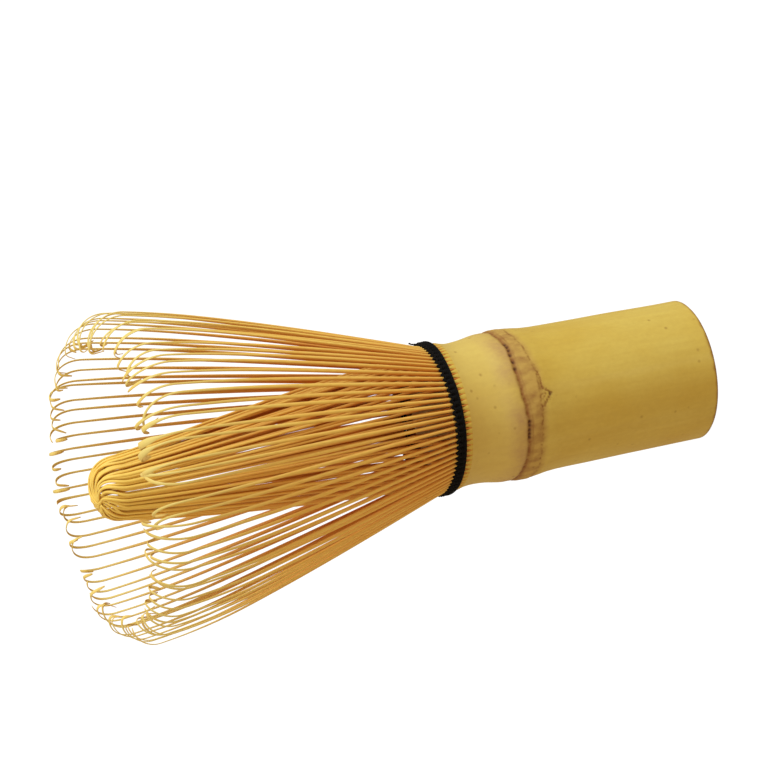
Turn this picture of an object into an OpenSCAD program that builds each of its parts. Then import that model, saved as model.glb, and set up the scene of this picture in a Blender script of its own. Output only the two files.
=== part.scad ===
// Bamboo tea whisk, standing on the cut end of its handle.
// Origin: centre of the handle's end face. +Z runs along the axis towards the tines.
// One length of bamboo forms the handle, the node ring and every tine. A thread parts the tines.

/* [Culm] */
// Diameter of the grip just above its cut end
grip_d = 24.2; // [22:0.1:26]
// Bore of the hollow internode
bore_d = 17.2; // [14:0.1:19]
// Height of the node groove above the cut end
node_z = 36.9; // [34:0.1:40]
// Diameter over the node ring
node_d = 26; // [25:0.1:27]
// Diameter of the pared waist between the node and the thread
waist_d = 24.4; // [24:0.1:25]
// Height at which the tines part from the collar
split_z = 47.75; // [47:0.05:48.5]

/* [Tines] */
// Number of staves that the bamboo is split into
staves = 16; // [12:1:16]
// Tines of each kind in a stave
tines_per_stave = 5; // [3:1:5]
// Thickness of a tine where it leaves the collar
root_t = 0.8; // [0.6:0.05:0.8]
// Thickness of a tine at its shaved tip
tip_t = 0.24; // [0.2:0.01:0.4]

/* [Outer tines] */
// Width of an outer tine at its root
outer_root_w = 0.48; // [0.4:0.01:0.48]
// Width of an outer tine at its tip
outer_tip_w = 0.3; // [0.2:0.01:0.4]
// Lean of the outer tines from the axis, in degrees
flare = 18.2; // [15:0.1:20]
// Length of the outer tines' spread stretch
flare_len = 54; // [48:0.5:56]
// Radius of the inward curl at the tips
curl_r = 6.5; // [5:0.1:8]
// Turn of the inward curl, in degrees
curl_turn = 108; // [60:1:120]

/* [Inner tines] */
// Width of an inner tine at its root
inner_root_w = 0.26; // [0.2:0.01:0.26]
// Width of an inner tine at its tip
inner_tip_w = 0.17; // [0.12:0.01:0.2]
// Lean of the inner tines towards the axis, in degrees
gather = 6.5; // [6:0.1:6.8]
// Length of the inner tines' straight stretch
gather_len = 56.4; // [52:0.1:58]
// Radius of the dome that the inner tips close into
dome_r = 3.6; // [3:0.1:4]

/* [Thread] */
// Diameter of the binding thread
thread_d = 0.5; // [0.4:0.01:0.5]
// Turns of the upper weave, outside the outer tines
upper_turns = 2; // [1.5:0.1:2.6]
// Turns of the lower weave, between outer and inner tines
lower_turns = 2; // [1.5:0.1:2]

/* [Hidden] */
$fn = 96;

// Parting gaps
split_gap = 0.1;
thread_gap = 0.12;

// Grip: how much it has widened where the swell of the node starts
end_bevel = 0.5;
swell_z = node_z - 8;
grip_widening = 0.3;

// Node ring, and the groove that the leaf sheath left in it
ring_bottom = node_z - 3.2;
ring_top = node_z - 1;
groove_depth = 0.35;
groove_half = 0.4;
lower_lip = 0.05;
upper_lip = 0.1;

// Shoulder, waist and collar
shoulder_z = node_z + 0.8;
waist_z = node_z + 6.6;
collar_top = split_z - split_gap;
collar_r = 12.72;
curve_steps = 6;

// Bore of the grip, the diaphragm at the node and the cavity above it
bore_bevel = 0.4;
septum_t = 2.2;
septum_top = node_z - 0.9;
septum_bottom = septum_top - septum_t;
cavity_z = node_z + 4.6;
cavity_r = waist_d / 2 - 1;

// Tine layout
stave_step = 360 / staves;
pair_step = stave_step / tines_per_stave;
outer_offset = 0.33 * pair_step;
inner_offset = 0.83 * pair_step;
root_r = collar_r - root_t / 2;
// Farther from the axis than any tine reaches
tine_reach = 40;

// Stretches of an outer tine: held at the collar, then bent outwards; the spread straightens a little
outer_hold = 1.35;
outer_bend = 1.5;
outer_straightening = 4;

// Stretches of an inner tine: held at the collar, pressed inwards, passed by the thread, bent back
inner_hold = 1;
inner_press = 0.9;
press_lean = 17;
inner_pass = 1.9;
inner_bend = 1;
inner_straightening = 0.3;
// The tips close the dome in turns, so that no two lie in the same place
dome_turns = [44, 58, 73, 58, 44];

// Thread heights
upper_z = 48.95;
lower_z = 52.45;
thread_pitch = thread_d + 0.04;
turn_steps = 40;
strand_sides = 8;
// Points of a face, from its root, between which its height only rises past the thread
weave_points = 7;

// Knot and its two cut tails
knot_r = 0.48;
knot_az = -8;
knot_z = 49.7;
knot_clearance = 0.1;
tail_d = 0.4;
long_tail = 2.6;
long_tail_lean = 14;
short_tail = 1.5;
short_tail_lean = 12;

// Thickness along a tine: [share of its length, share of the way from root to tip thickness]
thinning = [[0, 0], [0.1, 0], [0.6, 0.54], [1, 1]];
// Width along a tine: [share of its height, share of the way from root to tip width]
narrowing = [[0, 0], [0.65, 0.35], [1, 1]];

function two_digits(i) = str(i < 10 ? "0" : "", i);
outer_names = [for (i = [1:staves]) str("outer_tines_", two_digits(i))];
inner_names = [for (i = [1:staves]) str("inner_tines_", two_digits(i))];

// ---- Curves ----

// Smooth run from one [r, z] point to the next, level at both ends, leaving out the last point
function ease(a, b, n = curve_steps) =
    [for (i = [0:n - 1]) let (s = i / n, k = (1 - cos(180 * s)) / 2)
        [a[0] + (b[0] - a[0]) * k, a[1] + (b[1] - a[1]) * s]];

// A stretch of a path: n steps that share a length and a turn, as [length, turn] pairs
function stretch(n, len, turn = 0) = [for (i = [1:n]) [len / n, turn / n]];

// Walks [length, turn] steps from an [r, z] point, heading up the axis: a list of [r, z, lean]
function walk(start, steps) =
    [for (i = 0, p = start, a = 0; i <= len(steps);
        p = i < len(steps) ? p + steps[i][0] * [sin(a + steps[i][1] / 2), cos(a + steps[i][1] / 2)] : p,
        a = i < len(steps) ? a + steps[i][1] : a,
        i = i + 1) [p[0], p[1], a]];

function steps_len(steps, n) = n == 0 ? 0 : steps[n - 1][0] + steps_len(steps, n - 1);

// The face of a tine that follows a path, on its outer (side = 1) or inner (side = -1) side
function face(steps, side) =
    let (path = walk([root_r, split_z], steps), whole = steps_len(steps, len(steps)))
    [for (i = [0:len(path) - 1])
        let (t = root_t + (tip_t - root_t) * lookup(steps_len(steps, i) / whole, thinning))
        [path[i][0] + side * cos(path[i][2]) * t / 2, path[i][1] - side * sin(path[i][2]) * t / 2]];

function reversed(list) = [for (i = [len(list) - 1:-1:0]) list[i]];

// Radius of a face at a height, from its lower points, where its height only rises
function radius_at(z, points, n) = lookup(z, [for (i = [0:n]) [points[i][1], points[i][0]]]);

// Outer tine: up through the binding, flared, then curled inwards at the tip
outer_steps = concat(
    stretch(1, outer_hold),
    stretch(3, outer_bend, flare),
    stretch(6, flare_len, -outer_straightening),
    stretch(9, curl_r * curl_turn * PI / 180, -curl_turn)
);

// Inner tine: pressed inwards by the lower weave, gathered to a cone, then curled over as a dome
function inner_steps(dome_turn) = concat(
    stretch(1, inner_hold),
    stretch(2, inner_press, -press_lean),
    stretch(1, inner_pass),
    stretch(2, inner_bend, press_lean - gather),
    stretch(4, gather_len, -inner_straightening),
    stretch(6, dome_r * dome_turn * PI / 180, -dome_turn)
);

// ---- Bamboo ----

module handle_culm() {
    grip_r = grip_d / 2;
    node_r = node_d / 2;
    waist_r = waist_d / 2;
    bore_r = bore_d / 2;
    outside = concat(
        [[grip_r - end_bevel, 0]],
        ease([grip_r, end_bevel], [grip_r + grip_widening, swell_z]),
        ease([grip_r + grip_widening, swell_z], [node_r, ring_bottom]),
        [[node_r, ring_top], [node_r - lower_lip, node_z - groove_half]],
        [[node_r - groove_depth, node_z], [node_r - upper_lip, node_z + groove_half]],
        ease([node_r - upper_lip, shoulder_z], [waist_r, waist_z]),
        ease([waist_r, waist_z], [collar_r, collar_top]),
        [[collar_r, collar_top]]
    );
    cavity = [
        [collar_r - root_t, collar_top],
        [cavity_r, cavity_z],
        [bore_r, septum_top],
        [0, septum_top],
        [0, septum_bottom],
        [bore_r, septum_bottom],
        [bore_r, bore_bevel],
        [bore_r + bore_bevel, 0]
    ];
    color("burlywood") rotate_extrude() polygon(concat(outside, cavity));
}

// One tine in the plane y = 0: its outline extruded, and tapered in width towards the tip
module tine(steps, root_w, tip_w) {
    outline = concat(face(steps, 1), reversed(face(steps, -1)));
    tip_z = max([for (p = outline) p[1]]);
    edge = [for (k = narrowing)
        [(root_w + (tip_w - root_w) * k[1]) / 2, split_z + (tip_z - split_z) * k[0]]];
    intersection() {
        rotate([90, 0, 0])
            linear_extrude(height = 2 * root_w, center = true) polygon(outline);
        rotate([90, 0, 90])
            linear_extrude(height = tine_reach)
                polygon(concat(edge, reversed([for (p = edge) [-p[0], p[1]]])));
    }
}

module outer_tines(stave) {
    color("peru")
        for (k = [0:tines_per_stave - 1])
            rotate([0, 0, (stave - 1.5) * stave_step + outer_offset + k * pair_step])
                tine(outer_steps, outer_root_w, outer_tip_w);
}

module inner_tines(stave) {
    color("sandybrown")
        for (k = [0:tines_per_stave - 1])
            rotate([0, 0, (stave - 1.5) * stave_step + inner_offset + k * pair_step])
                tine(inner_steps(dome_turns[k]), inner_root_w, inner_tip_w);
}

// ---- Thread ----

// A strand that follows a face at a set clearance, wound as a helix
module wound_strand(face_points, start_z, turns) {
    rings = ceil(turns * turn_steps);
    points = [for (i = [0:rings])
        let (az = i * 360 * turns / rings, z = start_z + thread_pitch * turns * i / rings)
        let (r = radius_at(z, face_points, weave_points) + thread_gap + thread_d / 2)
        for (k = [0:strand_sides - 1])
            let (b = 360 * k / strand_sides, out = r + cos(b) * thread_d / 2)
            [out * cos(az), out * sin(az), z + sin(b) * thread_d / 2]];
    sides = [for (i = [0:rings - 1], k = [0:strand_sides - 1])
        let (a = i * strand_sides + k, b = i * strand_sides + (k + 1) % strand_sides)
        [a, b, b + strand_sides, a + strand_sides]];
    ends = [
        [for (k = [strand_sides - 1:-1:0]) k],
        [for (k = [0:strand_sides - 1]) rings * strand_sides + k]
    ];
    polyhedron(points = points, faces = concat(sides, ends), convexity = 8);
}

module thread_upper_weave() {
    color("black") rotate([0, 0, knot_az])
        wound_strand(face(outer_steps, 1), upper_z, upper_turns);
}

module thread_lower_weave() {
    color("black") rotate([0, 0, knot_az])
        wound_strand(face(inner_steps(dome_turns[0]), 1), lower_z, lower_turns);
}

// Overhand knot that lies on the upper weave, with two short cut tails
module thread_knot() {
    knot_at = collar_r + thread_gap + thread_d + knot_r + knot_clearance;
    color("black") rotate([0, 0, knot_az]) translate([knot_at, 0, knot_z]) {
        sphere(r = knot_r);
        rotate([0, long_tail_lean, 0]) cylinder(d = tail_d, h = long_tail);
        rotate([-90, 0, short_tail_lean]) cylinder(d = tail_d, h = short_tail);
    }
}

handle_culm();
thread_lower_weave();
thread_upper_weave();
thread_knot();
for (i = [1:staves]) {
    outer_tines(i);
    inner_tines(i);
}
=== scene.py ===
"""Bamboo tea whisk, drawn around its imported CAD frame.

Lengths are in millimetres up to the point where a mesh is made, and angles in degrees. The whisk stands on
its cut end at z = 0, and its tines point up.
"""
import math
import random

import bmesh
import bpy
from mathutils import Matrix, Quaternion, Vector, noise


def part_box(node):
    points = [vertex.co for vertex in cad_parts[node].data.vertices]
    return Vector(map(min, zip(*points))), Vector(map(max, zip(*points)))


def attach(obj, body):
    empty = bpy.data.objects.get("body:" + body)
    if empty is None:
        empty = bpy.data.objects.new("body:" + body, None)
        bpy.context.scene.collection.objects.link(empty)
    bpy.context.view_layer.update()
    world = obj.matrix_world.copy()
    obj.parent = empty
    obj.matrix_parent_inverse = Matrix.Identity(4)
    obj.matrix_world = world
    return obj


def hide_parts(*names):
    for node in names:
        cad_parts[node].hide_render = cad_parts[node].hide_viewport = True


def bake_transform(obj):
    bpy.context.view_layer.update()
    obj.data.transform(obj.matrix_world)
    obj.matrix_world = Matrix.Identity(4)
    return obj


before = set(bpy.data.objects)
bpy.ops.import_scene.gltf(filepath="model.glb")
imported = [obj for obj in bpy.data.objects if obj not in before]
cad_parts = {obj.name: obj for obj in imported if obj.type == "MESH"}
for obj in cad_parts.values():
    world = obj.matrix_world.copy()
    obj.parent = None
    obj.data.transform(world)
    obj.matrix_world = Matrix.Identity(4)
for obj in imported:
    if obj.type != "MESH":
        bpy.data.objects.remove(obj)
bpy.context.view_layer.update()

MM = 0.001
UP = Vector((0, 0, 1))
STAVES = sum(name.startswith("outer_tines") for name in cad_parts)
TINES = 5
STAVE_STEP = 360 / STAVES
PITCH = STAVE_STEP / TINES


def node_box(node):
    """Lowest and highest corner of a CAD node, in millimetres."""
    return [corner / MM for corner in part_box(node)]


# ---- Measures that the frame gives ----

COLLAR_TOP = node_box("handle_culm")[1].z
SPLIT_Z = node_box("outer_tines_01")[0].z
WEAVE_LOW = node_box("thread_upper_weave")[0].z
WEAVE_HIGH = node_box("thread_upper_weave")[1].z
INNER_TOP = max(node_box(name)[1].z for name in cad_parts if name.startswith("inner_tines"))

# ---- Measures of the looks ----

COLLAR_R = 12.72
COLLAR_LOW = 42.5
ROOT_T = 0.8
ROOT_R = COLLAR_R - ROOT_T / 2
ROOT_W = 0.99 * 2 * math.pi * COLLAR_R / (STAVES * TINES)
BORE_R = 8.6
GROOVE_Z = 36.65
RING_LINE_Z = 33.9
# How far the split lies below the frame's all around, and how much further at +X
SPLIT_LOWER = 0.3
SPLIT_DIP = 1.1
# Length of the last step before an edge that stays sharp
EDGE_STEP = 0.01
# Where a stave's first tine stands, as a share of the pitch
OUTER_SHIFT = 0.33
INNER_SHIFT = 0.83
# Each tine has its own random numbers, and each stave one for how its inner tines lean together
OUTER_SEED = 1000
INNER_SEED = 5000
CLUMP_SEED = 300

# Radius of the culm's skin by height, apart from what its node adds
CULM_PROFILE = [
    (0, 12.02), (4, 12.05), (16, 12.2), (27, 12.33), (30, 12.5), (33.2, 12.9), (35.6, 12.93),
    (36.9, 12.82), (38.6, 12.78), (41.6, 12.32), (44.4, 12.2), (46.6, 12.45), (COLLAR_TOP, COLLAR_R),
]


def split_drop(azimuth):
    """How far the hand-cut split, and the thread above it, lie below the frame's at an azimuth."""
    return SPLIT_LOWER + SPLIT_DIP * ((1 + math.cos(math.radians(azimuth))) / 2) ** 8


def tine_azimuth(stave, k, shift):
    """Azimuth of tine k of a stave, where stave 1 is centred near +X."""
    return (stave - 1.5) * STAVE_STEP + (shift + k) * PITCH


# ---- Small tools ----

def smooth(low, high, x):
    """0 up to low, 1 from high on, and a smooth change between them. Low may be the greater one."""
    t = min(1, max(0, (x - low) / (high - low)))
    return t * t * (3 - 2 * t)


def hump(x, half_width):
    """1 where x is 0, falling smoothly to about 0 at twice the half width on both sides."""
    return math.exp(-(x / half_width) ** 2)


def along(points, x):
    """Value at x of a straight run through (x, y) points."""
    if x <= points[0][0]:
        return points[0][1]
    for (x0, y0), (x1, y1) in zip(points, points[1:]):
        if x <= x1:
            return y0 + (y1 - y0) * (x - x0) / (x1 - x0)
    return points[-1][1]


def spline(points, x):
    """Value at x of a smooth run through (x, y) points, whose slopes come from their neighbours."""
    slopes = []
    for i in range(len(points)):
        before, after = points[max(0, i - 1)], points[min(len(points) - 1, i + 1)]
        slopes.append((after[1] - before[1]) / (after[0] - before[0]))
    for i, ((x0, y0), (x1, y1)) in enumerate(zip(points, points[1:])):
        if x <= x1 or i == len(points) - 2:
            span = x1 - x0
            t = min(1, max(0, (x - x0) / span))
            rise = y0 * (1 + 2 * t) * (1 - t) ** 2 + y1 * t * t * (3 - 2 * t)
            return rise + span * (slopes[i] * t * (1 - t) ** 2 - slopes[i + 1] * t * t * (1 - t))


def polar(r, azimuth, z=0.0):
    """The point at a radius, an azimuth in degrees and a height."""
    a = math.radians(azimuth)
    return Vector((r * math.cos(a), r * math.sin(a), z))


def make_mesh(name, points, faces, values, material):
    """A smooth-shaded mesh object from points in millimetres, with named numbers for its points."""
    mesh = bpy.data.meshes.new(name)
    mesh.from_pydata([p * MM for p in points], [], faces)
    for key, numbers in values.items():
        mesh.attributes.new(key, "FLOAT", "POINT").data.foreach_set("value", numbers)
    mesh.polygons.foreach_set("use_smooth", [True] * len(faces))
    mesh.materials.append(material)
    mesh.validate()
    piece = bpy.data.objects.new(name, mesh)
    bpy.context.scene.collection.objects.link(piece)
    return piece


class Skin:
    """Gathers rings of points into one closed tube after another."""

    def __init__(self):
        self.points = []
        self.faces = []
        self.values = {}

    def add(self, rings, values):
        """Adds a tube with capped ends. values holds, for each key, a list of numbers for each ring."""
        start, n = len(self.points), len(rings[0])
        for i, ring in enumerate(rings):
            self.points.extend(ring)
            for key, numbers in values.items():
                self.values.setdefault(key, []).extend(numbers[i])
        last = len(rings) - 1
        for i in range(last):
            a, b = start + i * n, start + (i + 1) * n
            self.faces.extend((a + k, a + (k + 1) % n, b + (k + 1) % n, b + k) for k in range(n))
        self.faces.append(tuple(start + k for k in reversed(range(n))))
        self.faces.append(tuple(start + last * n + k for k in range(n)))


# ---- Camera, stage and light ----

CAMERA_ELEVATION = math.radians(23.1)
CAMERA_ROLL = math.radians(-100.93)
CAMERA_DISTANCE = 1500
CAMERA_LENS = 412.4
CAMERA_SENSOR = 36
# The point that the camera faces, and how far it is then moved across its view
AIM = Vector((0, 0, 55))
AIM_RIGHT = -2.72
AIM_UP = 7.07

# Half the floor's side, in metres
FLOOR_HALF = 6
WHITE = (1, 1, 1, 1)
FLOOR_GLOW = (1, 0.73, 0.47, 1)
SKY_GLOW = (1, 0.87, 0.74, 1)
KEY_TOWARDS = (-0.86, 0.33, -0.42)
KEY_COLOUR = (0.82, 1, 1.2)


def make_camera():
    """A long lens that looks down on the standing whisk, rolled so that the tines point left."""
    level_right = Vector((1, 0, 0))
    level_up = Vector((0, math.sin(CAMERA_ELEVATION), math.cos(CAMERA_ELEVATION)))
    back = level_right.cross(level_up)
    right = math.cos(CAMERA_ROLL) * level_right + math.sin(CAMERA_ROLL) * level_up
    up = math.cos(CAMERA_ROLL) * level_up - math.sin(CAMERA_ROLL) * level_right
    place = (AIM + back * CAMERA_DISTANCE + right * AIM_RIGHT + up * AIM_UP) * MM
    camera = bpy.data.objects.new("camera", bpy.data.cameras.new("camera"))
    bpy.context.scene.collection.objects.link(camera)
    camera.matrix_world = Matrix.Translation(place) @ Matrix((right, up, back)).transposed().to_4x4()
    camera.data.sensor_width = CAMERA_SENSOR
    camera.data.lens = CAMERA_LENS
    camera.data.clip_start = 0.1
    camera.data.clip_end = 20
    bpy.context.scene.camera = camera


def sun(name, towards, strength, softness, colour):
    """A sun lamp that shines towards a direction, from a disc that is softness degrees wide."""
    lamp = bpy.data.lights.new(name, "SUN")
    lamp.energy = strength
    lamp.angle = math.radians(softness)
    lamp.color = colour
    piece = bpy.data.objects.new(name, lamp)
    bpy.context.scene.collection.objects.link(piece)
    piece.rotation_mode = "QUATERNION"
    piece.rotation_quaternion = Vector(towards).to_track_quat("-Z", "Y")


def split_by_ray(nodes, links, light, seen, output):
    """Shows seen to the camera, and lights the whisk with light."""
    path = nodes.new("ShaderNodeLightPath")
    mix = nodes.new("ShaderNodeMixShader")
    links.new(path.outputs["Is Camera Ray"], mix.inputs["Fac"])
    links.new(light, mix.inputs[1])
    links.new(seen, mix.inputs[2])
    links.new(mix.outputs[0], output.inputs["Surface"])


def make_stage():
    """A plain white floor and sky that give a soft warm light, and a key light from +X."""
    mesh = bpy.data.meshes.new("floor")
    corners = [(FLOOR_HALF * x, FLOOR_HALF * y, 0) for x, y in ((-1, -1), (1, -1), (1, 1), (-1, 1))]
    mesh.from_pydata(corners, [], [(0, 1, 2, 3)])
    floor = bpy.data.objects.new("floor", mesh)
    bpy.context.scene.collection.objects.link(floor)
    white = bpy.data.materials.new("white_floor")
    white.use_nodes = True
    shader = white.node_tree.nodes["Principled BSDF"]
    shader.inputs["Base Color"].default_value = (0.1, 0.1, 0.1, 1)
    shader.inputs["Roughness"].default_value = 0.9
    shader.inputs["Specular IOR Level"].default_value = 0
    shader.inputs["Emission Color"].default_value = WHITE
    shader.inputs["Emission Strength"].default_value = 1
    nodes, links = white.node_tree.nodes, white.node_tree.links
    glow = nodes.new("ShaderNodeEmission")
    glow.inputs["Color"].default_value = FLOOR_GLOW
    glow.inputs["Strength"].default_value = 0.5
    split_by_ray(nodes, links, glow.outputs[0], shader.outputs[0], nodes["Material Output"])
    mesh.materials.append(white)

    world = bpy.data.worlds.new("sky")
    world.use_nodes = True
    bpy.context.scene.world = world
    nodes, links = world.node_tree.nodes, world.node_tree.links
    light = nodes["Background"]
    light.inputs["Color"].default_value = SKY_GLOW
    light.inputs["Strength"].default_value = 0.8
    backdrop = nodes.new("ShaderNodeBackground")
    backdrop.inputs["Color"].default_value = WHITE
    split_by_ray(nodes, links, light.outputs[0], backdrop.outputs[0], nodes["World Output"])

    sun("key", KEY_TOWARDS, strength=2.15, softness=30, colour=KEY_COLOUR)
    bpy.context.scene.view_settings.view_transform = "Standard"


# ---- Materials ----

class Shader:
    """A Principled material with short names for the nodes that it needs."""

    def __init__(self, name, roughness, specular):
        self.material = bpy.data.materials.new(name)
        self.material.use_nodes = True
        self.nodes = self.material.node_tree.nodes
        self.links = self.material.node_tree.links
        self.shader = self.nodes["Principled BSDF"]
        self.shader.inputs["Roughness"].default_value = roughness
        self.shader.inputs["Specular IOR Level"].default_value = specular
        self.place = self.nodes.new("ShaderNodeTexCoord").outputs["Object"]

    def value(self, name):
        node = self.nodes.new("ShaderNodeAttribute")
        node.attribute_name = name
        return node.outputs["Fac"]

    def noise(self, scale, stretch, detail):
        """Noise with scale waves per metre across, and scale times stretch along Z."""
        mapping = self.nodes.new("ShaderNodeMapping")
        mapping.inputs["Scale"].default_value = (scale, scale, scale * stretch)
        self.links.new(self.place, mapping.inputs["Vector"])
        node = self.nodes.new("ShaderNodeTexNoise")
        node.inputs["Scale"].default_value = 1
        node.inputs["Detail"].default_value = detail
        self.links.new(mapping.outputs["Vector"], node.inputs["Vector"])
        return node.outputs["Fac"]

    def spots(self, scale, size):
        """Round spots, 1 at their centres, of a size that is a share of the cells' spacing."""
        node = self.nodes.new("ShaderNodeTexVoronoi")
        node.inputs["Scale"].default_value = scale
        self.links.new(self.place, node.inputs["Vector"])
        return self.span(node.outputs["Distance"], size, 0)

    def span(self, source, low, high, to_low=0.0, to_high=1.0):
        """Source's run from low to high, as a run from to_low to to_high, clamped."""
        node = self.nodes.new("ShaderNodeMapRange")
        node.inputs["From Min"].default_value = low
        node.inputs["From Max"].default_value = high
        node.inputs["To Min"].default_value = to_low
        node.inputs["To Max"].default_value = to_high
        self.links.new(source, node.inputs["Value"])
        return node.outputs["Result"]

    def math(self, operation, a, b):
        node = self.nodes.new("ShaderNodeMath")
        node.operation = operation
        node.use_clamp = True
        for socket, source in zip(node.inputs, (a, b)):
            if isinstance(source, (int, float)):
                socket.default_value = source
            else:
                self.links.new(source, socket)
        return node.outputs[0]

    def mix(self, factor, a, b):
        """Colour a where factor is 0 and b where it is 1. A colour is a node's output or an sRGB triple."""
        node = self.nodes.new("ShaderNodeMix")
        node.data_type = "RGBA"
        for socket, source in ((node.inputs["Factor"], factor), (node.inputs[6], a), (node.inputs[7], b)):
            if isinstance(source, (int, float)):
                socket.default_value = source
            elif isinstance(source, tuple):
                socket.default_value = (*(linear(c) for c in source), 1)
            else:
                self.links.new(source, socket)
        return node.outputs[2]

    def finish(self, colour, height, depth, roughness=None):
        """Connects the colour, and bumps that are depth metres deep where height runs from 0 to 1."""
        self.links.new(colour, self.shader.inputs["Base Color"])
        bump = self.nodes.new("ShaderNodeBump")
        bump.inputs["Strength"].default_value = 1
        bump.inputs["Distance"].default_value = depth
        self.links.new(height, bump.inputs["Height"])
        self.links.new(bump.outputs["Normal"], self.shader.inputs["Normal"])
        if roughness is not None:
            self.links.new(roughness, self.shader.inputs["Roughness"])
        return self.material


def linear(c):
    """A channel of an sRGB colour, from 0 to 255, as linear light."""
    c /= 255
    return c / 12.92 if c < 0.04045 else ((c + 0.055) / 1.055) ** 2.4


# sRGB colours of the culm
SKIN_LIGHT = (212, 186, 88)
SKIN_DEEP = (204, 172, 71)
GRAIN = (180, 142, 54)
STREAK = (220, 198, 124)
MOTTLE = (171, 135, 59)
COLLAR = (220, 192, 112)
RING = (182, 142, 74)
RING_PATCH = (144, 96, 48)
BLOOM = (184, 146, 92)
SPECK = (136, 90, 38)
STAIN = (136, 86, 36)
PIT = (72, 38, 12)
CUT_WOOD = (222, 196, 132)
CUT_FIBRE = (150, 104, 52)
INSIDE_LIGHT = (226, 204, 150)
INSIDE_DEEP = (206, 178, 118)

# sRGB colours that all tines share
# Painted shade: flanks redder and darker near the roots, where the tines shade each other
FLANK_LOW_PAINTED_SHADE = (212, 116, 48)
TINE_WARM = (236, 172, 62)
TINE_FIBRE = (205, 140, 50)
# Painted shade: the dark sides of the tine roots inside the slits at the collar
SLIT_PAINTED_SHADE = (54, 26, 10)

# sRGB colours of the thread
THREAD_BLACK = (4, 3, 2)
THREAD_DUST = (24, 20, 16)


def culm_material():
    """Dried bamboo skin: straw yellow with a lengthwise grain, blotches, specks and a stained node."""
    s = Shader("bamboo_culm", roughness=0.42, specular=0.28)
    grain = s.noise(900, 0.03, 4)
    streaks = s.noise(320, 0.02, 3)
    blotches = s.noise(90, 0.6, 3)
    colour = s.mix(s.span(blotches, 0.35, 0.65), SKIN_DEEP, SKIN_LIGHT)
    colour = s.mix(s.span(grain, 0.35, 0.75, 0, 0.2), colour, GRAIN)
    colour = s.mix(s.span(streaks, 0.55, 0.8, 0, 0.12), colour, STREAK)
    mottle = s.noise(1500, 0.7, 4)
    colour = s.mix(s.span(mottle, 0.3, 0.7, 0, 0.16), colour, MOTTLE)
    colour = s.mix(s.span(s.value("collar"), 0, 1, 0, 0.3), colour, COLLAR)
    colour = s.mix(s.span(s.value("ring"), 0, 1, 0, 0.66), colour, RING)
    patches = s.math("MULTIPLY", s.value("ring"), s.span(s.noise(700, 0.6, 4), 0.42, 0.7))
    colour = s.mix(s.math("MULTIPLY", patches, 0.66), colour, RING_PATCH)
    dust = s.math("MULTIPLY", s.value("bloom"), s.span(mottle, 0.25, 0.65, 0.6, 1))
    colour = s.mix(s.math("MULTIPLY", dust, 0.9), colour, BLOOM)
    specks = s.math("MULTIPLY", s.spots(420, 0.17), s.span(s.noise(150, 1, 1), 0.52, 0.58))
    colour = s.mix(s.math("MULTIPLY", specks, 0.65), colour, SPECK)
    colour = s.mix(s.value("stain"), colour, STAIN)
    colour = s.mix(s.value("pit"), colour, PIT)
    wood = s.mix(s.spots(1500, 0.42), CUT_WOOD, CUT_FIBRE)
    colour = s.mix(s.value("cut"), colour, wood)
    pale = s.mix(s.span(grain, 0.3, 0.7), INSIDE_LIGHT, INSIDE_DEEP)
    colour = s.mix(s.value("inside"), colour, pale)
    rough = s.span(s.noise(220, 0.2, 2), 0.3, 0.7, 0.42, 0.5)
    corky = s.math("ADD", s.value("ring"), s.value("pit"))
    rough = s.math("ADD", rough, s.math("MULTIPLY", corky, 0.3))
    return s.finish(colour, height=grain, depth=0.02 * MM, roughness=rough)


def tine_material(name, skin, flank, shade, tip):
    """Split bamboo: skin on the outer face, flanks painted redder and darker low down as shade between the
    tines, and a pale tip. The shade colour comes in where tone is high: darker tines at random, and painted
    shade near the roots.

    At the root, the skin is the collar's, and the slits are painted dark as shade."""
    s = Shader(name, roughness=0.55, specular=0.25)
    fibre = s.noise(2200, 0.03, 3)
    tone = s.noise(260, 0.1, 2)
    # Painted shade: low mixes in the redder, darker flank colour near the roots
    side = s.mix(s.value("low"), flank, FLANK_LOW_PAINTED_SHADE)
    colour = s.mix(s.value("skin"), side, skin)
    # tone mixes in the shade colour: darker tines at random, and painted shade near the roots
    colour = s.mix(s.value("tone"), colour, shade)
    colour = s.mix(s.span(tone, 0.35, 0.7, 0, 0.3), colour, TINE_WARM)
    colour = s.mix(s.span(fibre, 0.45, 0.75, 0, 0.25), colour, TINE_FIBRE)
    colour = s.mix(s.value("pale"), colour, tip)
    # Painted shade: at the root, the flanks take the dark slit colour, and the skin face takes the collar's
    # own colour
    colour = s.mix(s.value("root"), colour, s.mix(s.value("skin"), SLIT_PAINTED_SHADE, SKIN_DEEP))
    return s.finish(colour, height=fibre, depth=0.03 * MM)


def thread_material():
    """Dull black cotton with a little dusty fuzz."""
    s = Shader("black_thread", roughness=0.85, specular=0.15)
    fuzz = s.noise(5200, 1, 3)
    colour = s.mix(s.span(fuzz, 0.4, 0.8), THREAD_BLACK, THREAD_DUST)
    return s.finish(colour, height=fuzz, depth=0.05 * MM)


# ---- Culm ----

CULM_SIDES = TINES * STAVES * 8
CULM_AZIMUTHS = [360 * k / CULM_SIDES for k in range(CULM_SIDES)]
# Length on the skin, in millimetres, of a degree of azimuth
ARC = math.radians(13)
# The bud scar's outline on the skin: (height, azimuth), with its middle and its pit
SCAR = [(33.3, -70), (33.15, -83), (31.6, -87), (33.1, -94), (34.1, -98)]
SCAR_MIDDLE = (33, -88)
SCAR_PIT = (32, -87.5)
# Azimuths of the groove's open pits
PITS = [-38, -41, -45, -50, -57, -63, -106, -109, -113, -116, -119, 24, 31, 77, 140, 163]

# Marks on the culm, which its material reads by these names
MARKS = ("collar", "ring", "bloom", "stain", "pit", "cut", "inside")
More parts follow.
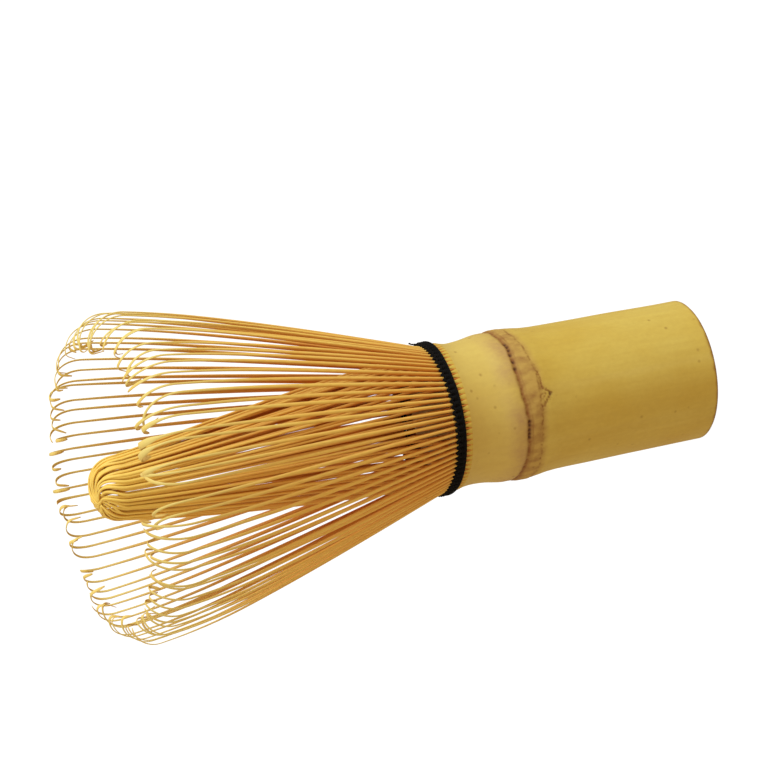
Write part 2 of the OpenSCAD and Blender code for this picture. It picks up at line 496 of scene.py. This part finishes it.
# Heights of the rings of points on the skin: closer at the rim, the node and the split
SKIN_LEVELS = [
    0.02, 0.12, 0.25, 0.45, 0.7, 1, 1.6, 2.6,
    *(4 + 2 * i for i in range(13)), *(29 + 0.5 * i for i in range(4)), *(31 + 0.16 * i for i in range(44)),
    *(38.2 + 0.6 * i for i in range(14)), 46.6, 46.9, 47.2, 47.45, COLLAR_TOP - EDGE_STEP, COLLAR_TOP,
]
CUT_R = 11.2
# (radius, height) of the rings in the cavity above the diaphragm, on the cut face and in the bore
CAVITY = [(11.4, 43), (11, 41), (9.4, 37.4), (8.4, 36.2), (5, 35.9), (1.5, 35.8), (0.05, 35.78)]
CUT_FACE = [(CUT_R, 0), (9, 0)]
BORE = [(BORE_R, 0.4), (BORE_R, 12), (BORE_R, 24), (BORE_R, 32.6), (8, 33.6), (5, 33.9), (0.05, 34)]


def wander(azimuth, seed, size):
    """A gentle wander around the culm, the same at 0 and 360 degrees."""
    return (noise.noise(polar(1.3, azimuth, seed)) + noise.noise(polar(6, azimuth, seed)) * 0.35) * size


def line_distance(z, azimuth, points):
    """Distance on the skin, in millimetres, from a point to a line of (height, azimuth) points."""
    best = math.inf
    here = Vector((z, azimuth * ARC))
    for (z0, a0), (z1, a1) in zip(points, points[1:]):
        a, b = Vector((z0, a0 * ARC)), Vector((z1, a1 * ARC))
        t = min(1, max(0, (here - a).dot(b - a) / (b - a).length_squared))
        best = min(best, (here - a.lerp(b, t)).length)
    return best


def spot(z, azimuth, middle, half_width, half_height):
    """1 at the middle, a (height, azimuth), falling smoothly to 0 around it."""
    return hump((azimuth - middle[1]) * ARC, half_width) * hump(z - middle[0], half_height)


def groove_z(azimuth):
    return GROOVE_Z + wander(azimuth, 3.1, 0.7)


def ring_line_z(azimuth):
    return RING_LINE_Z + wander(azimuth, 8.7, 0.8)


def scar_mark(z, azimuth):
    """The bud scar: a ragged line around a crumbly middle."""
    if not (30 < z < 36 and -110 < azimuth < -60):
        return 0.0
    ragged = 0.35 * noise.noise(polar(34, azimuth, z * 2.6))
    line = hump(line_distance(z, azimuth, SCAR) + ragged, 0.2)
    crumbs = max(0, 0.1 + 1.6 * noise.noise(polar(30, azimuth, z * 2.2)))
    return max(line, spot(z, azimuth, SCAR_MIDDLE, 1.1, 0.9) * crumbs)


def pit_mark(z, azimuth):
    """The groove's open pits, and the one at the scar's point."""
    pits = [spot(z, azimuth, (groove_z(p), p), 0.35, 0.26) for p in PITS]
    return max(*pits, 0.8 * spot(z, azimuth, SCAR_PIT, 0.35, 0.3))


def culm_skin(z, azimuth):
    """Radius of the skin at a height and azimuth, with its marks as a dict."""
    signed = (azimuth + 180) % 360 - 180
    above_groove = z - groove_z(azimuth)
    above_line = z - ring_line_z(azimuth)
    # The groove, a second line under it in places, and the ring's lower line
    broken = 0.5 + 0.9 * noise.noise(polar(5, azimuth, 20))
    crumbs = noise.noise(polar(26, azimuth, z * 2))
    in_groove = hump(above_groove, 0.33) * (0.9 + 0.6 * crumbs)
    second = hump(above_groove + 0.62, 0.15) * max(0, broken)
    on_line = hump(above_line, 0.2) * min(1, max(0, 0.1 + 0.5 * broken + 1.4 * crumbs))
    scar = scar_mark(z, signed)
    pit = pit_mark(z, signed)

    # The wall is a little out of round, raised between the two lines, and hollow at the marks
    out_of_round = 0.07 * math.cos(math.radians(2 * azimuth + 40))
    out_of_round += 0.05 * noise.noise(polar(1, azimuth, z / 9))
    near_node = smooth(29, 33, z) * smooth(40, 37, z)
    r = spline(CULM_PROFILE, z)
    r += out_of_round * smooth(COLLAR_TOP - 0.3, COLLAR_TOP - 4, z)
    r += 0.1 * smooth(-0.35, 0.25, above_line) * smooth(0.2, -0.5, above_groove)
    r -= 0.2 * in_groove + 0.08 * second + 0.07 * on_line + 0.07 * scar + 0.1 * pit
    r -= 0.25 * smooth(0.35, 0, z) ** 2
    r += 0.035 * near_node * noise.noise(polar(16, azimuth, z * 1.1))

    # The cut rim is stained, and the skin above the groove has a dusty bloom
    rim = smooth(0.75, 0.15, z + 0.25 * noise.noise(polar(9, azimuth, 2)))
    bloom = smooth(-0.1, 0.5, above_groove) * smooth(5.2, 0.8, above_groove)
    bloom *= 0.65 + 0.8 * noise.noise(polar(3, azimuth, z / 5))
    stain = 0.95 * in_groove ** 0.6 + 0.6 * second + 0.8 * on_line + 0.9 * scar + 0.8 * rim
    marks = {
        "collar": smooth(0, 3, above_groove),
        "ring": smooth(-1.6, 0.3, above_line) * smooth(0.5, -0.2, above_groove),
        "bloom": min(1, max(0, bloom)),
        "stain": min(1, stain),
        "pit": pit,
    }
    return r, marks


def add_ring(rings, values, points, marks):
    """Adds a ring of points to rings, and to values one dict of marks for each point."""
    rings.append(points)
    for key in MARKS:
        values[key].append([m.get(key, 0.0) for m in marks])


def add_round_rings(rings, values, places, mark):
    """Adds plain rings around the axis, all of the same mark."""
    for radius, z in places:
        add_ring(rings, values, [polar(radius, a, z) for a in CULM_AZIMUTHS], [{mark: 1.0}] * CULM_SIDES)


def make_culm(material):
    """One closed skin: up the outside, over the collar, down into the cavity, and around the bore."""
    rings, values = [], {key: [] for key in MARKS}
    add_round_rings(rings, values, CUT_FACE[:1], "cut")
    for z in SKIN_LEVELS:
        found = [culm_skin(z, a) for a in CULM_AZIMUTHS]
        # The collar's upper part follows the split
        share = smooth(COLLAR_LOW, COLLAR_TOP, z)
        points = [polar(r, a, z - share * split_drop(a)) for (r, _), a in zip(found, CULM_AZIMUTHS)]
        add_ring(rings, values, points, [m for _, m in found])
    add_round_rings(rings, values, [(COLLAR_R - ROOT_T, COLLAR_TOP)], "inside")
    rings[-1] = [p - UP * split_drop(a) for p, a in zip(rings[-1], CULM_AZIMUTHS)]
    add_round_rings(rings, values, CAVITY, "inside")
    skin = Skin()
    skin.add(rings, values)

    # The bore is the inside of the same wall
    start = len(skin.points)
    rings, values = [], {key: [] for key in MARKS}
    add_round_rings(rings, values, CUT_FACE, "cut")
    add_round_rings(rings, values, BORE, "inside")
    skin.add(rings, values)
    # The two tubes share the cut face's outer ring, so neither is capped there, and the bore faces inwards
    caps = [f for f in skin.faces if len(f) == CULM_SIDES and (0 in f or start in f)]
    skin.faces = [f[::-1] if f[0] >= start else f for f in skin.faces if f not in caps]
    piece = make_mesh("bamboo_culm", skin.points, skin.faces, skin.values, material)
    weld(piece)
    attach(piece, "handle")
    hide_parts("handle_culm")


def weld(piece):
    """Joins points that lie in one place."""
    bm = bmesh.new()
    bm.from_mesh(piece.data)
    bmesh.ops.remove_doubles(bm, verts=bm.verts, dist=1e-7)
    bm.to_mesh(piece.data)
    bm.free()


# ---- Tines ----

# Marks on a tine besides its skin, which its material reads by these names
SHADES = ("tone", "pale", "root", "low")
# Depth of the overlap between a tine's root and the collar
ROOT_OVERLAP = 0.12


def section(width, thick, edge):
    """Outline of a tine across its path, as (across, outwards, skin), where skin is 1 on the outer face.

    The outer face is crowned and the edges are rounded where edge is 1, and flat and sharp where it is 0."""
    w, t = width / 2, thick / 2
    crown = 0.1 * width * edge
    c = 0.24 * min(width, thick) * max(0.08, edge)
    return [
        (w - c, -t, 0), (c - w, -t, 0), (-w, c - t, 0.25), (-w, t - c, 0.6),
        (c - w, t, 1), (0, t + crown, 1), (w - c, t, 1), (w, t - c, 0.6), (w, -t + c, 0.25),
    ]


def sweep(skin, points, normals, sizes, shades):
    """Adds one tine: a tube through points, with a normal, a size and a list of shades at each.

    A size is (width, thickness, edge), and the shades are numbers for SHADES."""
    rings, values = [], {key: [] for key in ("skin", *SHADES)}
    last = len(points) - 1
    for i, (p, normal, size, marks) in enumerate(zip(points, normals, sizes, shades)):
        tangent = (points[min(last, i + 1)] - points[max(0, i - 1)]).normalized()
        across = tangent.cross(normal).normalized()
        out = across.cross(tangent)
        outline = section(*size)
        rings.append([p + across * a + out * b for a, b, _ in outline])
        values["skin"].append([s for _, _, s in outline])
        for key, number in zip(SHADES, marks):
            values[key].append([number] * len(outline))
    skin.add(rings, values)


def walk(steps, azimuth):
    """Walks (length, bend, sway) steps up from a tine's root, and gives the points and their normals.

    Bend leans outwards, sway leans towards higher azimuths, both in degrees."""
    place = polar(ROOT_R, azimuth, SPLIT_Z - ROOT_OVERLAP - split_drop(azimuth))
    ahead = UP.copy()
    out = polar(1, azimuth)
    points, normals = [place.copy()], [out.copy()]
    for length, bend, sway in steps:
        side = out.cross(ahead)
        turn = Quaternion(side, math.radians(-bend)) @ Quaternion(out, math.radians(sway))
        half = Quaternion().slerp(turn, 0.5)
        place += (half @ ahead) * length
        ahead, out = turn @ ahead, turn @ out
        points.append(place.copy())
        normals.append(out.copy())
    return points, normals


def spread(n, length, bend=0.0, sway=0.0):
    """A stretch of n equal steps for walk, from its whole length, bend and sway."""
    return [(length / n, bend / n, sway / n)] * n


def path_shares(points):
    """Share of its whole length at which each point of a path lies."""
    lengths = [0.0]
    for a, b in zip(points, points[1:]):
        lengths.append(lengths[-1] + (b - a).length)
    return [x / lengths[-1] for x in lengths]


# (share of the length, width or thickness) of the tines, from root to tip
OUTER_WIDTHS = [
    (0, 0.6), (0.03, 0.48), (0.08, 0.48), (0.3, 0.68), (0.5, 0.66), (0.72, 0.5), (0.81, 0.4), (0.86, 0.36),
    (0.92, 0.44), (0.965, 0.6), (0.99, 0.54), (1, 0.26),
]
OUTER_THICKNESSES = [(0, ROOT_T), (0.08, ROOT_T), (0.45, 0.42), (0.8, 0.22), (0.9, 0.13), (1, 0.08)]
INNER_WIDTHS = [(0, 0.28), (0.08, 0.34), (0.3, 0.52), (0.6, 0.47), (0.88, 0.53), (1, 0.38)]
INNER_THICKNESSES = [(0, ROOT_T), (0.08, 0.7), (0.5, 0.45), (0.88, 0.3), (1, 0.12)]
# Share of an outer tine's length below which its root is blended into the collar
ROOT_SHARE = 0.1
CURL_STEPS = 16


def near_azimuth(azimuth, middle, half_width):
    """1 at the middle azimuth, falling smoothly to 0 on both sides."""
    return hump(azimuth % 360 - middle, half_width)


def outer_tine(skin, stave, k):
    """Adds one outer tine: straight through the thread, spread outwards, then curled and hooked inwards."""
    rng = random.Random(OUTER_SEED + stave * TINES + k)
    azimuth = tine_azimuth(stave, k, OUTER_SHIFT) + rng.uniform(-0.25, 0.25)
    lean = rng.gauss(0, 0.45)
    drift = rng.gauss(0, 0.5)
    # Tines towards -Y are longer and curl further in, and those towards -X are longer and curl tighter
    front = near_azimuth(azimuth, 255, 42)
    minus_x = ((1 - math.cos(math.radians(azimuth))) / 2) ** 2
    curl = rng.uniform(72, 108) + 10 * front
    reach = rng.uniform(-0.3, 0.8) + 1.3 * front + 3.4 * minus_x
    hook = rng.gauss(0, 20)
    # A few tips in front have spread flat
    flattened = near_azimuth(azimuth, 281, 7)
    fold = rng.uniform(60, 115)
    fold_length = rng.uniform(0.5, 2.2)
    tip = rng.uniform(0, 1)
    slit = rng.uniform(0.7, 1.7)
    low_tone = rng.uniform(0, 0.22)
    drop = split_drop(azimuth)

    # Up to the thread, where it bends outwards, then along the bell's side, which turns slowly inwards
    steps = [(EDGE_STEP, 0, 0)] + spread(6, 1.46 + drop) + spread(5, 1.5, 18.2 + lean)
    steps += spread(10, 20, -0.6 - lean * 0.2, drift) + spread(10, 20, -2.2, -drift * 0.4)
    steps += spread(8, 14 + reach, -4.4 - 4.8 * minus_x, drift)
    # The curl
    curl_length = (5.4 - 1.6 * minus_x + 1.2 * front) * math.radians(curl)
    for i in range(CURL_STEPS):
        share = (i + 0.5) / CURL_STEPS
        tighter = 0.75 + 0.5 * share
        bend, sway = -curl / CURL_STEPS * tighter, hook / CURL_STEPS * 2 * share
        steps.append((curl_length / CURL_STEPS, bend, sway))
    # Most tips fold back at their ends
    if tip > 0.15:
        steps += spread(5, 1.1, -fold, hook) + spread(2, fold_length)
    points, normals = walk(steps, azimuth)

    sizes, shades = [], []
    for p, s in zip(points, path_shares(points)):
        above = p.z - SPLIT_Z + drop
        at_root = s < ROOT_SHARE
        neck = smooth(slit, -0.1, above) if at_root else 0
        width = along(OUTER_WIDTHS, s) + 0.7 * flattened * smooth(0.9, 0.94, s) * smooth(1, 0.985, s)
        width += (ROOT_W - width) * neck ** 2
        sizes.append((width, along(OUTER_THICKNESSES, s), 1 - neck ** 0.5))
        # Darker towards the root: painted shade between the tines near the thread, on top of a random tone
        # for each tine
        tone = low_tone + 0.2 * smooth(0.4, 0.05, s)
        pale = smooth(0.5, 0.94, s) * 0.92 - 0.35 * smooth(0.94, 0.97, s)
        # root marks the slits, whose flanks are painted dark as shade
        root = smooth(2.6, 1.2, above) if at_root else 0
        # low is painted shade, 1 near the roots, where the flanks turn redder and darker
        shades.append((tone, pale, root, smooth(0.55, 0.15, s)))
    sweep(skin, points, normals, sizes, shades)


# The dome in which the inner tines close, leaning towards -X
DOME_R = 5.5
DOME_H = 5.2
DOME_Z = INNER_TOP - DOME_H + 0.8
# Exponent of the dome's outline: 2 gives an ellipse, and more is squarer
DOME_SHAPE = 2.6
# The swirl's middle, as a direction from the dome's centre
SWIRL_POLE = Vector((-0.37, -0.2, 0.9)).normalized()
LEAN = Vector((-1.25, 0, 0))
CONE_STEPS = 30
DOME_STEPS = 20


def inner_tine(skin, stave, k, clump):
    """Adds one inner tine: bent inwards at the thread, up the cone, and over the dome in a swirl."""
    rng = random.Random(INNER_SEED + stave * TINES + k)
    centre = (stave - 1) * STAVE_STEP + 0.5 * PITCH
    azimuth = tine_azimuth(stave, k, INNER_SHIFT)
    # Up to the thread, inwards behind it, and then more upright again
    steps = spread(4, 1.12) + spread(4, 0.9, -17)
    steps += spread(4, 1.9 + split_drop(azimuth)) + spread(4, 1, 10.5)
    points, normals = walk(steps, azimuth)
    start = points[-1]
    start_r = math.hypot(start.x, start.y)
    # The strands of the dome lie in three layers
    layer = 1 - 0.045 * ((k * 2 + stave) % 3) - rng.uniform(0, 0.04)
    gather = rng.uniform(0.12, 0.36)
    final = azimuth + (centre - azimuth) * gather + clump + rng.gauss(0, 1.3)
    bulge = rng.uniform(0.1, 0.7)
    # Up the cone, where the strands of a stave gather and lean together
    for i in range(1, CONE_STEPS + 1):
        t = i / CONE_STEPS
        z = start.z + (DOME_Z - start.z) * t
        r = start_r + (DOME_R * layer - start_r) * t + bulge * math.sin(math.pi * t)
        a = azimuth + (final - azimuth) * smooth(0, 0.5, t) + rng.uniform(-0.1, 0.1)
        points.append(polar(r, a, z) + LEAN * smooth(0, 1, t))
        normals.append(polar(1, a, 0.11).normalized())
    # Over the dome, whose pole tilts more and more towards the swirl's middle
    whole_tilt = UP.rotation_difference(SWIRL_POLE)
    stop = rng.uniform(-8, 24)
    swirl = 58 + 48 * math.cos(math.radians(final + 20)) + rng.uniform(-14, 14)
    for i in range(1, DOME_STEPS + 1):
        t = i / DOME_STEPS
        angle = math.radians(90 + (stop - 90) * t)
        around = final + swirl * t ** 2.4
        tilt = Quaternion().slerp(whole_tilt, t ** 1.4)
        d = tilt @ polar(math.sin(angle), around, math.cos(angle))
        flat = (math.hypot(d.x, d.y) ** DOME_SHAPE + abs(d.z) ** DOME_SHAPE) ** (-1 / DOME_SHAPE)
        scale = flat * layer * (1 - 0.05 * t)
        points.append(Vector((d.x * DOME_R, d.y * DOME_R, d.z * DOME_H)) * scale + UP * DOME_Z + LEAN)
        normals.append(d)

    sizes, shades = [], []
    low_tone = rng.uniform(0, 0.75)
    for s in path_shares(points):
        sizes.append((along(INNER_WIDTHS, s), along(INNER_THICKNESSES, s), 1))
        # Painted shade at the roots, where the inner tines stand in shade behind the outer ones
        deep = smooth(0.16, 0.02, s)
        tone = max(0.75 * low_tone * smooth(0.97, 0.85, s), deep)
        # low is painted shade, 1 near the roots, where the flanks turn redder and darker
        shades.append((tone, smooth(0.5, 0.97, s) * 0.85, 0, smooth(0.6, 0.2, s)))
    sweep(skin, points, normals, sizes, shades)


def make_staves(outer_material, inner_material):
    """Makes the staves. Each is one mesh of its tines."""
    for stave in range(1, STAVES + 1):
        clump = random.Random(CLUMP_SEED + stave).uniform(-3.2, 3.2)
        outer, inner = Skin(), Skin()
        for k in range(TINES):
            outer_tine(outer, stave, k)
            inner_tine(inner, stave, k, clump)
        for kind, skin, material in (("outer", outer, outer_material), ("inner", inner, inner_material)):
            name = f"{kind}_splints_{stave:02d}"
            piece = make_mesh(name, skin.points, skin.faces, skin.values, material)
            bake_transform(piece)
            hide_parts(f"{kind}_tines_{stave:02d}")


# ---- Thread ----

THREAD_R = 0.27
THIN_R = 0.2
TAIL_R = 0.15
PLY_SIDES = 6
UPPER_TURNS = 4
LOWER_TURNS = 2
TURN_STEPS = 720
UPPER_RISE = 0.33
LOWER_RISE = 0.5
KNOT_AZIMUTH = 24
KNOT_SIZE = 0.16
KNOT_LAY = 0.9
KNOT_STEPS = 60
TAIL_STEPS = 24
# (first azimuth, last azimuth) of the two tails, and how high they rise
TAILS = [(4, -4), (32, 62)]
TAIL_RISE = 2.5


def ply_tube(skin, path, radius, plies=2, lay=0.8):
    """Adds a thread of twisted plies along a path. They turn once around each other in each lay."""
    last = len(path) - 1
    tangents = [(path[min(last, i + 1)] - path[max(0, i - 1)]).normalized() for i in range(last + 1)]
    ply_r = radius * 0.68
    off = radius * 0.34
    for ply in range(plies):
        rings = []
        run = 0.0
        for i, (p, tangent) in enumerate(zip(path, tangents)):
            if i:
                run += (p - path[i - 1]).length
            side = tangent.cross(UP if abs(tangent.z) < 0.9 else Vector((1, 0, 0))).normalized()
            lift = side.cross(tangent)
            a = 2 * math.pi * (run / lay + ply / plies)
            centre = p + (side * math.cos(a) + lift * math.sin(a)) * off
            ring = []
            for k in range(PLY_SIDES):
                b = -2 * math.pi * k / PLY_SIDES
                ring.append(centre + (side * math.cos(b) + lift * math.sin(b)) * ply_r)
            rings.append(ring)
        skin.add(rings, {})


def tine_bulge(azimuth):
    """1 over the middle of an outer tine, and 0 midway between two."""
    return 0.5 + 0.5 * math.cos(2 * math.pi * (azimuth - tine_azimuth(1, 0, OUTER_SHIFT)) / PITCH)


def finish_thread(skin, name, material, node):
    piece = make_mesh(name, skin.points, skin.faces, skin.values, material)
    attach(piece, "handle")
    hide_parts(node)


def face_r(z):
    """About the radius of the outer tines' skin at a height near the thread."""
    return COLLAR_R + 0.33 * max(0, z - SPLIT_Z - 2.4) + 0.12 * smooth(1.3, 2.6, z - SPLIT_Z)


def make_thread(material):
    """The binding: an upper weave on the outer tines' skin, a lower one behind them, and a knot."""
    upper = Skin()
    path = []
    for i in range(UPPER_TURNS * TURN_STEPS + 1):
        azimuth = 360 * i / TURN_STEPS
        turn = i / TURN_STEPS
        over = tine_bulge(azimuth)
        z = WEAVE_LOW - split_drop(azimuth) + THREAD_R + turn * UPPER_RISE
        z += 0.05 * noise.noise(polar(4, azimuth, turn))
        # The last turn rises between the tines, and all but the first are pulled in there
        z += 0.55 * (1 - over) ** 2 * smooth(2.9, 3.1, turn)
        r = face_r(z) + THREAD_R + 0.02 - 0.3 * (1 - over) * smooth(0.8, 2.4, turn) + 0.1 * (turn % 1)
        path.append(polar(r, azimuth, z))
    ply_tube(upper, path, THREAD_R, plies=3)
    finish_thread(upper, "binding_upper_weave", material, "thread_upper_weave")

    lower = Skin()
    path = []
    for i in range(LOWER_TURNS * TURN_STEPS + 1):
        azimuth = 360 * i / TURN_STEPS
        z = WEAVE_LOW - split_drop(azimuth) + THREAD_R + i / TURN_STEPS * LOWER_RISE
        r = COLLAR_R - ROOT_T - THREAD_R - 0.1 * tine_bulge(azimuth)
        path.append(polar(r, azimuth, z))
    ply_tube(lower, path, THIN_R)
    finish_thread(lower, "binding_lower_weave", material, "thread_lower_weave")

    # The knot is a trefoil, with two loose tails
    knot = Skin()
    low = WEAVE_HIGH - split_drop(0)
    middle = polar(face_r(low) + 0.3, KNOT_AZIMUTH, low - 0.1)
    loop = []
    for i in range(KNOT_STEPS + 1):
        a = 2 * math.pi * i / KNOT_STEPS
        across, up = math.sin(a) + 2 * math.sin(2 * a), math.cos(a) - 2 * math.cos(2 * a)
        loop.append(middle + Vector((0.1 * math.sin(3 * a), KNOT_SIZE * across, KNOT_SIZE * up)))
    ply_tube(knot, loop, THIN_R, lay=KNOT_LAY)
    for start, end in TAILS:
        tail = []
        for i in range(TAIL_STEPS + 1):
            t = i / TAIL_STEPS
            z = low - 0.5 + TAIL_RISE * t
            tail.append(polar(face_r(z) + 0.4, start + (end - start) * t * t, z))
        ply_tube(knot, tail, TAIL_R, lay=KNOT_LAY)
    finish_thread(knot, "binding_knot", material, "thread_knot")


# ---- Assembly ----

make_camera()
make_stage()
make_culm(culm_material())
make_staves(
    tine_material(
        "outer_splint",
        skin=(242, 208, 104),
        flank=(207, 145, 61),
        shade=(222, 148, 54),
        tip=(228, 206, 118),
    ),
    tine_material(
        "inner_splint",
        skin=(244, 208, 100),
        flank=(224, 148, 54),
        shade=(204, 118, 46),
        tip=(244, 208, 98),
    ),
)
make_thread(thread_material())
